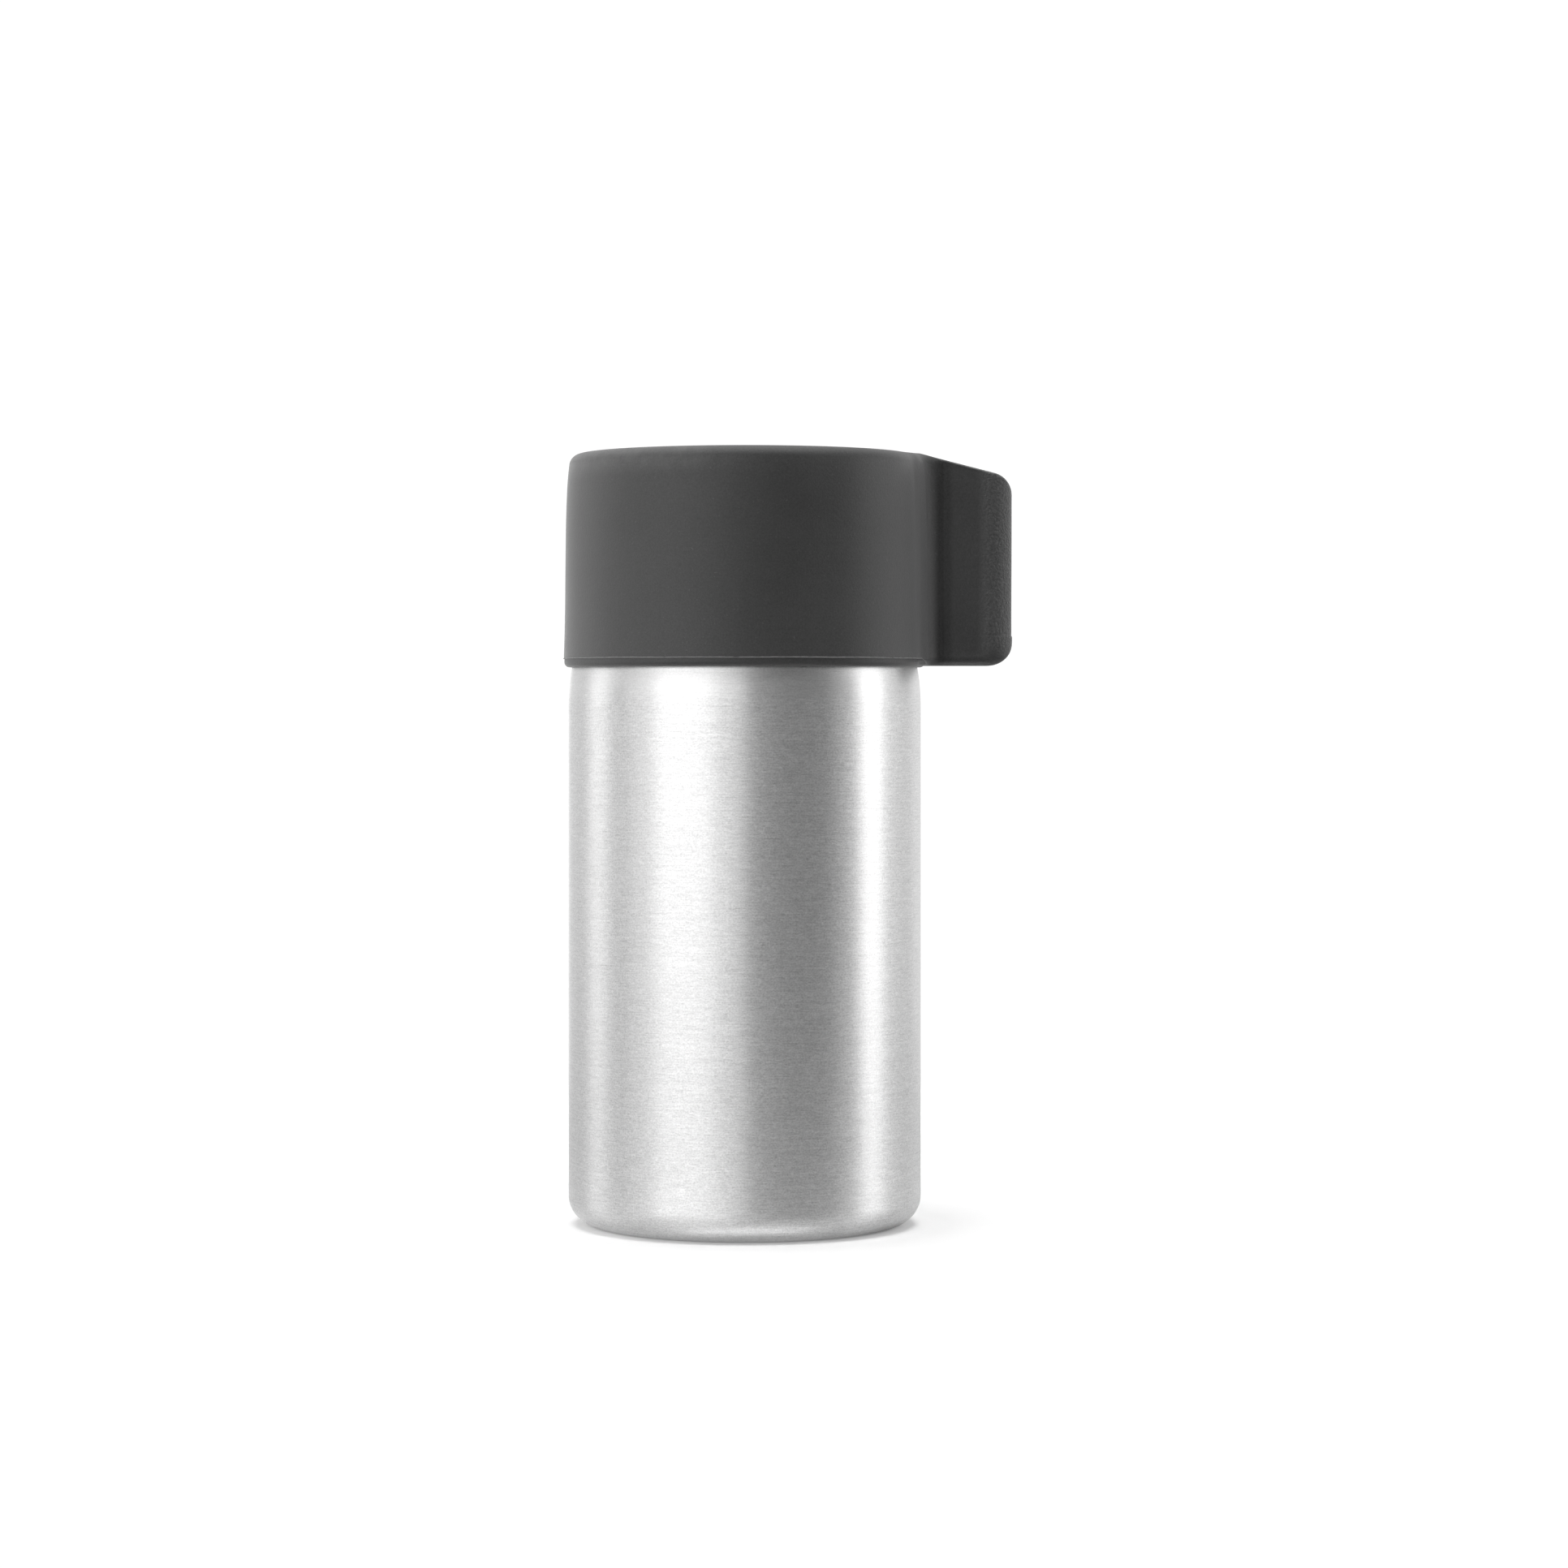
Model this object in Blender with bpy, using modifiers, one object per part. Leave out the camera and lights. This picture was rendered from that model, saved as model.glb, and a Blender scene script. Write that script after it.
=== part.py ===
"""Small wide-mouth travel canister with a screw lid, closed, at real size.

Four pieces: a drawn and necked metal can, a hard threaded cap, the flat
sealing ring inside the cap, and the soft grip cover stretched over the cap
with its side loop. Metres, +Z up, origin on the can's axis at the standing
face, side loop towards +X. The photographed front is towards -Y.
"""

import math

import bmesh
import bpy

MM = 0.001

# Can
BODY_RADIUS = 16.5 * MM
WALL = 0.5 * MM
FLOOR_THICKNESS = 1.0 * MM
BASE_CORNER = 2.74 * MM
INNER_CORNER = 2.2 * MM
BEAD_RING_OUTER = 11.7 * MM
BEAD_RING_INNER = 9.5 * MM
BEAD_RING_DEPTH = 0.35 * MM
SHOULDER_START = 48.4 * MM
SHOULDER_RISE = 8.0 * MM
SHOULDER_INSET = 3.0 * MM

# Neck, rolled thread and curled rim
NECK_RADIUS = 13.0 * MM
NECK_WALL = 0.55 * MM
NECK_FOOT_FILLET = 0.5 * MM
NECK_IN_START = 65.1 * MM
NECK_IN_RISE = 0.75 * MM
NECK_IN_STEP = 0.65 * MM
RIM_TOP = 67.4 * MM
RIM_CURL = 0.6 * MM
THREAD_PITCH = 4.0 * MM
THREAD_TURNS = 1.4
NECK_THREAD_START_Z = 58.2 * MM
NECK_THREAD_CENTRE = 12.7 * MM
NECK_THREAD_SECTION = 1.2 * MM
NECK_GROOVE_SECTION = 0.7 * MM

# Cap
CAP_TOP = 70.2 * MM
CAP_PLATE = 1.2 * MM
CAP_OUTER_RADIUS = 15.1 * MM
CAP_INNER_RADIUS = 14.2 * MM
CAP_SKIRT_BOTTOM = 56.6 * MM
CAP_THREAD_START_Z = 57.6 * MM
CAP_THREAD_CENTRE = 14.1 * MM
CAP_THREAD_SECTION = 0.8 * MM
LOCATING_RING_OUTER = 11.2 * MM
LOCATING_RING_WALL = 0.8 * MM
LOCATING_RING_BOTTOM = 67.0 * MM

# Sealing ring
SEAL_INNER_RADIUS = 11.5 * MM
SEAL_OUTER_RADIUS = 13.9 * MM
SEAL_BOTTOM = 67.6 * MM
SEAL_TOP = 68.8 * MM
SEAL_EDGE = 0.15 * MM

# Grip cover
COVER_TOP = 72.0 * MM
COVER_BOTTOM = 52.2 * MM
COVER_INNER_RADIUS = 15.35 * MM
COVER_INNER_TOP = 70.45 * MM
COVER_LIP_START = 52.85 * MM
COVER_SHOULDER_GAP = 0.25 * MM
COVER_TOP_CORNER = 0.9 * MM
COVER_STATIONS = (
    (71.1 * MM, 16.42 * MM),
    (70.0 * MM, 16.55 * MM),
    (68.0 * MM, 16.66 * MM),
    (65.0 * MM, 16.75 * MM),
    (60.0 * MM, 16.81 * MM),
    (56.0 * MM, 16.86 * MM),
    (COVER_LIP_START, 16.94 * MM),
)

# Side loop of the grip cover
LOOP_REACH = 25.08 * MM
LOOP_HALF_THICKNESS = 2.45 * MM
LOOP_FILLET = 1.5 * MM
LOOP_ROOT_RADIUS = 16.6 * MM
LOOP_TOP_AT_ROOT = 71.95 * MM
LOOP_TOP_SLOPE = math.radians(14.4)
LOOP_TOP_CORNER = 2.3 * MM
LOOP_BOTTOM_CORNER = 2.4 * MM
SLOT_INNER_END = 17.7 * MM
SLOT_OUTER_END = 23.6 * MM
SLOT_HALF_WIDTH = 1.15 * MM

# Faceting
ROUND_STEPS = 48
HELIX_POINTS_PER_TURN = 26
MERGE = 1e-6


def clear_scene():
    for obj in list(bpy.data.objects):
        bpy.data.objects.remove(obj, do_unlink=True)


def new_collection(name):
    collection = bpy.data.collections.new(name)
    bpy.context.scene.collection.children.link(collection)
    return collection


def material(name, colour, metallic, roughness):
    made = bpy.data.materials.new(name)
    made.use_nodes = True
    shader = made.node_tree.nodes["Principled BSDF"]
    shader.inputs["Base Color"].default_value = (*colour, 1.0)
    shader.inputs["Metallic"].default_value = metallic
    shader.inputs["Roughness"].default_value = roughness
    return made


def as_helper(obj):
    obj.hide_render = True
    obj.display_type = "WIRE"
    return obj


def arc(centre_r, centre_z, semi_r, semi_z, start_deg, end_deg, steps):
    """Points along an elliptical arc in the (radius, height) plane, both ends included."""
    points = []
    for i in range(steps + 1):
        a = math.radians(start_deg + (end_deg - start_deg) * i / steps)
        points.append((centre_r + semi_r * math.cos(a), centre_z + semi_z * math.sin(a)))
    return points


def turned(name, profile, collection, closed=False):
    """A turned piece: the (radius, height) profile swept a full turn about Z."""
    mesh = bpy.data.meshes.new(name)
    edges = [(i, i + 1) for i in range(len(profile) - 1)]
    if closed:
        edges.append((len(profile) - 1, 0))
    mesh.from_pydata([(r, 0.0, z) for r, z in profile], edges, [])
    mesh.update()
    obj = bpy.data.objects.new(name, mesh)
    collection.objects.link(obj)
    screw = obj.modifiers.new("Turn", "SCREW")
    screw.axis = "Z"
    screw.angle = 2 * math.pi
    screw.steps = ROUND_STEPS
    screw.render_steps = ROUND_STEPS
    screw.use_merge_vertices = True
    screw.merge_threshold = MERGE
    screw.use_smooth_shade = True
    return obj


def boolean(obj, other, operation, label):
    modifier = obj.modifiers.new(label, "BOOLEAN")
    modifier.operation = operation
    modifier.solver = "EXACT"
    modifier.object = other
    return modifier


def curve_to_mesh(curve_object, name, collection):
    """The curve's evaluated shape as a closed mesh object; the curve is removed."""
    bpy.context.view_layer.update()
    graph = bpy.context.evaluated_depsgraph_get()
    mesh = bpy.data.meshes.new_from_object(curve_object.evaluated_get(graph))
    mesh.name = name
    solid = bmesh.new()
    solid.from_mesh(mesh)
    bmesh.ops.remove_doubles(solid, verts=solid.verts, dist=MERGE)
    bmesh.ops.recalc_face_normals(solid, faces=solid.faces)
    solid.to_mesh(mesh)
    solid.free()
    obj = bpy.data.objects.new(name, mesh)
    collection.objects.link(obj)
    obj.matrix_world = curve_object.matrix_world.copy()
    bpy.data.objects.remove(curve_object, do_unlink=True)
    return obj


def outline_prism(name, points, half_depth, collection):
    """A flat closed outline in local XY, thickened along local Z by half_depth each way."""
    data = bpy.data.curves.new(name, "CURVE")
    data.dimensions = "2D"
    data.fill_mode = "BOTH"
    data.extrude = half_depth
    spline = data.splines.new("POLY")
    spline.points.add(len(points) - 1)
    for point, (x, y) in zip(spline.points, points):
        point.co = (x, y, 0.0, 1.0)
    spline.use_cyclic_u = True
    obj = bpy.data.objects.new(name, data)
    collection.objects.link(obj)
    return obj


def ease(t):
    t = min(1.0, max(0.0, t))
    return t * t * (3 - 2 * t)


def helix_rod(name, start_z, start_deg, centre, section, end_centre, end_section, collection):
    """A right-hand helical rod that thins and shifts to end_centre over its last eighth of a turn at each end."""
    data = bpy.data.curves.new(name, "CURVE")
    data.dimensions = "3D"
    data.twist_mode = "Z_UP"
    data.bevel_depth = section
    data.bevel_resolution = 2
    data.use_fill_caps = True
    spline = data.splines.new("POLY")
    count = round(HELIX_POINTS_PER_TURN * THREAD_TURNS)
    spline.points.add(count)
    fade = 0.125
    for i, point in enumerate(spline.points):
        turn = THREAD_TURNS * i / count
        full = ease(min(turn, THREAD_TURNS - turn) / fade)
        radius = end_centre + (centre - end_centre) * full
        a = math.radians(start_deg) + 2 * math.pi * turn
        point.co = (
            radius * math.cos(a),
            radius * math.sin(a),
            start_z + THREAD_PITCH * turn,
            1.0,
        )
        point.radius = (end_section + (section - end_section) * full) / section
    obj = bpy.data.objects.new(name, data)
    collection.objects.link(obj)
    return curve_to_mesh(obj, name, collection)


def shoulder_radius(z):
    """Outer radius of the can's elliptical shoulder at height z."""
    t = min(1.0, max(0.0, (z - SHOULDER_START) / SHOULDER_RISE))
    return BODY_RADIUS - SHOULDER_INSET + SHOULDER_INSET * math.sqrt(1 - t * t)


def build_can(parts, cutters):
    neck_inner = NECK_RADIUS - NECK_WALL
    foot_r = BODY_RADIUS - SHOULDER_INSET
    foot_z = SHOULDER_START + SHOULDER_RISE
    mouth = neck_inner - NECK_IN_STEP
    curl_r = mouth + RIM_CURL
    curl_z = RIM_TOP - RIM_CURL
    inner_fillet = foot_r - neck_inner

    inside = [(0.0, FLOOR_THICKNESS)]
    inside += arc(
        BODY_RADIUS - WALL - INNER_CORNER,
        FLOOR_THICKNESS + INNER_CORNER,
        INNER_CORNER,
        INNER_CORNER,
        -90,
        0,
        4,
    )
    inside += arc(
        foot_r, SHOULDER_START, SHOULDER_INSET - WALL, SHOULDER_RISE - WALL, 0, 90, 6
    )
    inside += arc(
        foot_r, foot_z - WALL + inner_fillet, inner_fillet, inner_fillet, 270, 180, 3
    )[1:]
    inside += [
        (neck_inner, NECK_IN_START - 0.15 * MM),
        (mouth, NECK_IN_START - 0.15 * MM + NECK_IN_RISE),
    ]
    rim = arc(curl_r, curl_z, RIM_CURL, RIM_CURL, 180, -94, 9)
    under_curl = NECK_RADIUS - NECK_IN_STEP
    outside = [
        (under_curl, NECK_IN_START + NECK_IN_RISE),
        (NECK_RADIUS, NECK_IN_START),
    ]
    outside += arc(
        foot_r,
        foot_z + NECK_FOOT_FILLET,
        NECK_FOOT_FILLET,
        NECK_FOOT_FILLET,
        180,
        270,
        3,
    )
    outside += arc(foot_r, SHOULDER_START, SHOULDER_INSET, SHOULDER_RISE, 90, 0, 7)[1:]
    outside += arc(
        BODY_RADIUS - BASE_CORNER, BASE_CORNER, BASE_CORNER, BASE_CORNER, 0, -90, 6
    )
    outside += [
        (BEAD_RING_OUTER, 0.0),
        (BEAD_RING_OUTER - BEAD_RING_DEPTH, BEAD_RING_DEPTH),
        (BEAD_RING_INNER + BEAD_RING_DEPTH, BEAD_RING_DEPTH),
        (BEAD_RING_INNER, 0.0),
        (0.0, 0.0),
    ]
    can = turned("canister_body", inside + rim + outside, parts)

    # The thread is rolled: a ridge outside with its matching groove inside.
    trim = as_helper(
        turned(
            "thread_trim",
            [
                (0.0, RIM_TOP),
                (NECK_THREAD_CENTRE, RIM_TOP),
                (NECK_THREAD_CENTRE, foot_z - 2 * MM),
                (0.0, foot_z - 2 * MM),
            ],
            cutters,
        )
    )
    ridge = as_helper(
        helix_rod(
            "neck_thread_ridge",
            NECK_THREAD_START_Z,
            0.0,
            NECK_THREAD_CENTRE,
            NECK_THREAD_SECTION,
            NECK_THREAD_CENTRE + 0.08 * MM,
            0.16 * MM,
            cutters,
        )
    )
    boolean(ridge, trim, "DIFFERENCE", "Trim")
    groove = as_helper(
        helix_rod(
            "neck_thread_groove",
            NECK_THREAD_START_Z,
            0.0,
            NECK_THREAD_CENTRE,
            NECK_GROOVE_SECTION,
            neck_inner - 0.35 * MM,
            0.2 * MM,
            cutters,
        )
    )
    boolean(can, ridge, "UNION", "Ridge")
    boolean(can, groove, "DIFFERENCE", "Groove")
    return can


def build_cap(parts, cutters):
    plate_bottom = CAP_TOP - CAP_PLATE
    edge = 0.5 * MM
    profile = [(0.0, CAP_TOP)]
    profile += arc(CAP_OUTER_RADIUS - edge, CAP_TOP - edge, edge, edge, 90, 0, 3)
    profile += [
        (CAP_OUTER_RADIUS, CAP_SKIRT_BOTTOM + 0.2 * MM),
        (CAP_OUTER_RADIUS - 0.2 * MM, CAP_SKIRT_BOTTOM),
        (CAP_INNER_RADIUS + 0.3 * MM, CAP_SKIRT_BOTTOM),
        (CAP_INNER_RADIUS, CAP_SKIRT_BOTTOM + 0.3 * MM),
        (CAP_INNER_RADIUS, plate_bottom),
        (LOCATING_RING_OUTER, plate_bottom),
        (LOCATING_RING_OUTER, LOCATING_RING_BOTTOM + 0.2 * MM),
        (LOCATING_RING_OUTER - 0.2 * MM, LOCATING_RING_BOTTOM),
        (LOCATING_RING_OUTER - LOCATING_RING_WALL, LOCATING_RING_BOTTOM),
        (LOCATING_RING_OUTER - LOCATING_RING_WALL, plate_bottom),
        (0.0, plate_bottom),
    ]
    cap = turned("inner_cap", profile, parts)
    # The cap's ridge lies half a pitch below the neck's at every angle.
    below = NECK_THREAD_START_Z - THREAD_PITCH / 2
    start_deg = 360 * (CAP_THREAD_START_Z - below) / THREAD_PITCH
    ridge = as_helper(
        helix_rod(
            "cap_thread_ridge",
            CAP_THREAD_START_Z,
            start_deg,
            CAP_THREAD_CENTRE,
            CAP_THREAD_SECTION,
            CAP_INNER_RADIUS + 0.4 * MM,
            0.2 * MM,
            cutters,
        )
    )
    boolean(cap, ridge, "UNION", "Ridge")
    return cap


def build_seal(parts):
    mid = (SEAL_INNER_RADIUS + SEAL_OUTER_RADIUS) / 2
    profile = [
        (mid, SEAL_TOP),
        (SEAL_OUTER_RADIUS - SEAL_EDGE, SEAL_TOP),
        (SEAL_OUTER_RADIUS, SEAL_TOP - SEAL_EDGE),
        (SEAL_OUTER_RADIUS, SEAL_BOTTOM + SEAL_EDGE),
        (SEAL_OUTER_RADIUS - SEAL_EDGE, SEAL_BOTTOM),
        (SEAL_INNER_RADIUS + SEAL_EDGE, SEAL_BOTTOM),
        (SEAL_INNER_RADIUS, SEAL_BOTTOM + SEAL_EDGE),
        (SEAL_INNER_RADIUS, SEAL_TOP - SEAL_EDGE),
        (SEAL_INNER_RADIUS + SEAL_EDGE, SEAL_TOP),
    ]
    return turned("cap_gasket", profile, parts, closed=True)


def side_outline():
    """The loop seen from the front, as (x, z) points: sloped top, two rounded outer corners."""
    root = LOOP_ROOT_RADIUS - 0.9 * MM
    drop = math.tan(LOOP_TOP_SLOPE)
    points = [(root, COVER_BOTTOM)]
    r = LOOP_BOTTOM_CORNER
    points += arc(LOOP_REACH - r, COVER_BOTTOM + r, r, r, -90, 0, 6)
    # The top corner is tangent to the vertical outer edge and to the sloped top.
    r = LOOP_TOP_CORNER
    centre_x = LOOP_REACH - r
    top_at_centre = LOOP_TOP_AT_ROOT - drop * (centre_x - root)
    centre_z = top_at_centre - r / math.cos(LOOP_TOP_SLOPE)
    points += arc(centre_x, centre_z, r, r, 0, 90 - math.degrees(LOOP_TOP_SLOPE), 6)
    points.append((root, LOOP_TOP_AT_ROOT))
    return points


def plan_outline():
    """The loop seen from above, as (x, y) points: straight sides, a round fold at the
    outer end, and a fillet each side where it leaves the round cover."""
    h, f, big = LOOP_HALF_THICKNESS, LOOP_FILLET, LOOP_ROOT_RADIUS
    fillet_y = h + f
    fillet_x = math.sqrt((big + f) ** 2 - fillet_y**2)
    touch = math.degrees(math.atan2(-fillet_y, -fillet_x))
    upper = arc(fillet_x, fillet_y, f, f, 270, 360 + touch, 4)
    lower = [(x, -y) for x, y in reversed(upper)]
    inner = (upper[-1][0] - 0.9 * MM, upper[-1][1] - 0.3 * MM)
    fold = arc(LOOP_REACH - h, 0.0, h, h, -90, 90, 12)
    return [(inner[0], -inner[1]), *lower, *fold, *upper, inner]


def slot_outline():
    h = SLOT_HALF_WIDTH
    outer = arc(SLOT_OUTER_END - h, 0.0, h, h, -90, 90, 8)
    inner = arc(SLOT_INNER_END + h, 0.0, h, h, 90, 270, 8)
    return outer + inner


def build_cover(parts, cutters):
    top_r = COVER_STATIONS[0][1] - COVER_TOP_CORNER
    profile = [(0.0, COVER_TOP)]
    profile += arc(
        top_r,
        COVER_STATIONS[0][0],
        COVER_TOP_CORNER,
        COVER_TOP - COVER_STATIONS[0][0],
        90,
        0,
        5,
    )
    profile += [(r, z) for z, r in COVER_STATIONS[1:]]
    lip_r = COVER_STATIONS[-1][1]
    lip_in = 0.44 * MM
    profile += arc(
        lip_r - lip_in, COVER_LIP_START, lip_in, COVER_LIP_START - COVER_BOTTOM, 0, -90, 4
    )[1:]
    profile.append((0.0, COVER_BOTTOM))
    cover = turned("lid_cover", profile, parts)

    side = outline_prism("loop_side", side_outline(), 6 * MM, cutters)
    side.rotation_euler = (math.radians(90), 0, 0)
    side = as_helper(curve_to_mesh(side, "loop_side", cutters))
    plan = outline_prism("loop_plan", plan_outline(), 14 * MM, cutters)
    plan.location = (0, 0, (COVER_TOP + COVER_BOTTOM) / 2)
    plan = as_helper(curve_to_mesh(plan, "loop_plan", cutters))
    boolean(side, plan, "INTERSECT", "Plan shape")

    # The cavity holds the cap, and flares at the lip to follow the can's shoulder.
    flare_top = COVER_INNER_RADIUS - COVER_SHOULDER_GAP
    t = (flare_top - (BODY_RADIUS - SHOULDER_INSET)) / SHOULDER_INSET
    flare_z = SHOULDER_START + SHOULDER_RISE * math.sqrt(1 - t * t)
    end_z = COVER_BOTTOM - 1.2 * MM
    edge = 0.5 * MM
    cavity_profile = [(0.0, COVER_INNER_TOP)]
    cavity_profile += arc(
        COVER_INNER_RADIUS - edge, COVER_INNER_TOP - edge, edge, edge, 90, 0, 3
    )
    for i in range(6):
        z = flare_z + (end_z - flare_z) * i / 5
        cavity_profile.append((shoulder_radius(z) + COVER_SHOULDER_GAP, z))
    cavity_profile.append((0.0, end_z))
    cavity = as_helper(turned("cover_cavity", cavity_profile, cutters))

    slot = outline_prism("loop_slot", slot_outline(), 14 * MM, cutters)
    slot.location = (0, 0, (COVER_TOP + COVER_BOTTOM) / 2)
    slot = as_helper(curve_to_mesh(slot, "loop_slot", cutters))

    boolean(cover, side, "UNION", "Loop")
    boolean(cover, cavity, "DIFFERENCE", "Cavity")
    boolean(cover, slot, "DIFFERENCE", "Slot")
    return cover


def main():
    clear_scene()
    parts = new_collection("travel_canister")
    cutters = new_collection("helpers")

    can = build_can(parts, cutters)
    cap = build_cap(parts, cutters)
    seal = build_seal(parts)
    cover = build_cover(parts, cutters)

    # The lid turns and rises about the can's axis, so its parent sits there.
    lid_axis = bpy.data.objects.new("lid_axis", None)
    lid_axis.empty_display_size = 5 * MM
    parts.objects.link(lid_axis)
    for piece in (cap, seal, cover):
        piece.parent = lid_axis

    for piece in (can, cap, seal, cover):
        shading = piece.modifiers.new("Shading", "WEIGHTED_NORMAL")
        shading.keep_sharp = True

    can.data.materials.append(material("brushed_metal", (0.78, 0.78, 0.78), 1.0, 0.32))
    cap.data.materials.append(material("hard_plastic", (0.045, 0.045, 0.045), 0.0, 0.42))
    seal.data.materials.append(material("seal_rubber", (0.62, 0.62, 0.6), 0.0, 0.55))
    cover.data.materials.append(material("grip_silicone", (0.085, 0.085, 0.085), 0.0, 0.6))


main()
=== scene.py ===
"""Looks for the travel canister: brushed can, soft grip cover with its side loop,
hard cap and sealing ring, built as fine meshes in the CAD frame (metres, +Z up).
Shapes are worked out in millimetres and turned into metres when a mesh is made.
"""

import math

import bpy
import numpy as np
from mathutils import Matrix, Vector


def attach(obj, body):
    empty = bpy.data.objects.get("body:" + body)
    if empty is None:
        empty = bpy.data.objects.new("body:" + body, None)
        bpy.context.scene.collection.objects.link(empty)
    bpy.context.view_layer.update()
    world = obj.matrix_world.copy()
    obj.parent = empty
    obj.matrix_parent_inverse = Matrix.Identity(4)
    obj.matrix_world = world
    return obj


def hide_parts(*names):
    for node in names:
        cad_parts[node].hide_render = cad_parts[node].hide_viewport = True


MM = 0.001

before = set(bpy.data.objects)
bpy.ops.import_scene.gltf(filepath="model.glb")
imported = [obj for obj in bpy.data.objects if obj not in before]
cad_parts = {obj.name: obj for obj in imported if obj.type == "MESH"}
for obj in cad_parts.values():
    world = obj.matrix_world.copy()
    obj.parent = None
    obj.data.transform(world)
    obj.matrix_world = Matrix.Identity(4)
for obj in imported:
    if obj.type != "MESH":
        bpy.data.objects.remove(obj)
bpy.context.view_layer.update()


# ---------------------------------------------------------------- small helpers


def smoothstep(a, b, x):
    t = np.clip((x - a) / (b - a), 0.0, 1.0)
    return t * t * (3.0 - 2.0 * t)


def arc(centre_r, centre_z, semi_r, semi_z, start_deg, end_deg, steps):
    """Points of an elliptical arc in the (radius, height) plane, ends included."""
    a = np.radians(np.linspace(start_deg, end_deg, steps + 1))
    return [
        (centre_r + semi_r * math.cos(t), centre_z + semi_z * math.sin(t)) for t in a
    ]


def line(start, end, steps):
    """Points from start to end, leaving out start."""
    t = np.linspace(0, 1, steps + 1)[1:]
    return [
        (start[0] + (end[0] - start[0]) * k, start[1] + (end[1] - start[1]) * k)
        for k in t
    ]


def s_curve(start, end, steps):
    """Points from start to end whose radius changes in an even S, leaving out start."""
    t = np.linspace(0, 1, steps + 1)[1:]
    return [
        (
            start[0] + (end[0] - start[0]) * (k * k * (3 - 2 * k)),
            start[1] + (end[1] - start[1]) * k,
        )
        for k in t
    ]


def mesh_object(name, points_mm, faces, uv=None):
    mesh = bpy.data.meshes.new(name)
    mesh.from_pydata((np.asarray(points_mm) * MM).tolist(), [], faces)
    mesh.polygons.foreach_set("use_smooth", [True] * len(mesh.polygons))
    if uv is not None:
        layer = mesh.uv_layers.new(name="lathe")
        layer.data.foreach_set("uv", np.asarray(uv, np.float32).ravel())
    mesh.update()
    obj = bpy.data.objects.new(name, mesh)
    bpy.context.scene.collection.objects.link(obj)
    return obj


def lathe(name, profile, steps, push=None, closed=False):
    """A turned piece from (radius, height) points, outside first, so that faces look
    outwards when the profile runs anticlockwise in the (radius, height) plane.
    push(radius, height, angle, tag) may return new radii. Points may carry a tag as
    their third value. Rows at radius 0 become one point."""
    radius = np.array([p[0] for p in profile], float)
    height = np.array([p[1] for p in profile], float)
    tags = [p[2] if len(p) > 2 else "" for p in profile]
    along = np.concatenate([[0], np.cumsum(np.hypot(np.diff(radius), np.diff(height)))])
    angle = np.linspace(0, 2 * math.pi, steps, endpoint=False)
    points, index = [], []
    for r, z, tag in zip(radius, height, tags):
        if r < 1e-6:
            index.append([len(points)] * steps)
            points.append((0.0, 0.0, z))
            continue
        rr = np.full(steps, r)
        if push is not None:
            rr = push(r, z, angle, tag)
        index.append(list(range(len(points), len(points) + steps)))
        points += list(
            zip((rr * np.cos(angle)).tolist(), (rr * np.sin(angle)).tolist(), [z] * steps)
        )
    rows = list(range(len(profile)))
    pairs = list(zip(rows[:-1], rows[1:])) + ([(rows[-1], rows[0])] if closed else [])
    gap = math.hypot(radius[0] - radius[-1], height[0] - height[-1])
    faces, uv = [], []
    for a, b in pairs:
        va, vb = along[a] / 100, (along[b] if b > a else along[-1] + gap) / 100
        for i in range(steps):
            j = (i + 1) % steps
            u0, u1 = i / steps, (i + 1) / steps
            face = [index[a][i], index[a][j], index[b][j], index[b][i]]
            where = [(u0, va), (u1, va), (u1, vb), (u0, vb)]
            if face[0] == face[1]:
                face, where = face[1:], where[1:]
            elif face[2] == face[3]:
                face, where = face[:3], where[:3]
            faces.append(face)
            uv += where
    return mesh_object(name, points, faces, uv)


# ---------------------------------------------------------------- the can

PITCH = 4.0
TURNS = 1.4


def helix(z, angle, start_z, start_deg, half_width, power):
    """Height of a thread ridge from 0 to 1 at this height and these angles."""
    total = np.zeros_like(angle)
    first = (angle - math.radians(start_deg)) / (2 * math.pi)
    first = first - np.floor(first)
    for k in range(3):
        turn = first + k
        full = smoothstep(0.0, 0.125, np.minimum(turn, TURNS - turn))
        full = np.where((turn > 0) & (turn < TURNS), full, 0.0)
        u = np.clip(np.abs(z - (start_z + PITCH * turn)) / half_width, 0, 1)
        total = np.maximum(total, full * np.cos(0.5 * math.pi * u) ** (2 * power))
    return total


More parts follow.
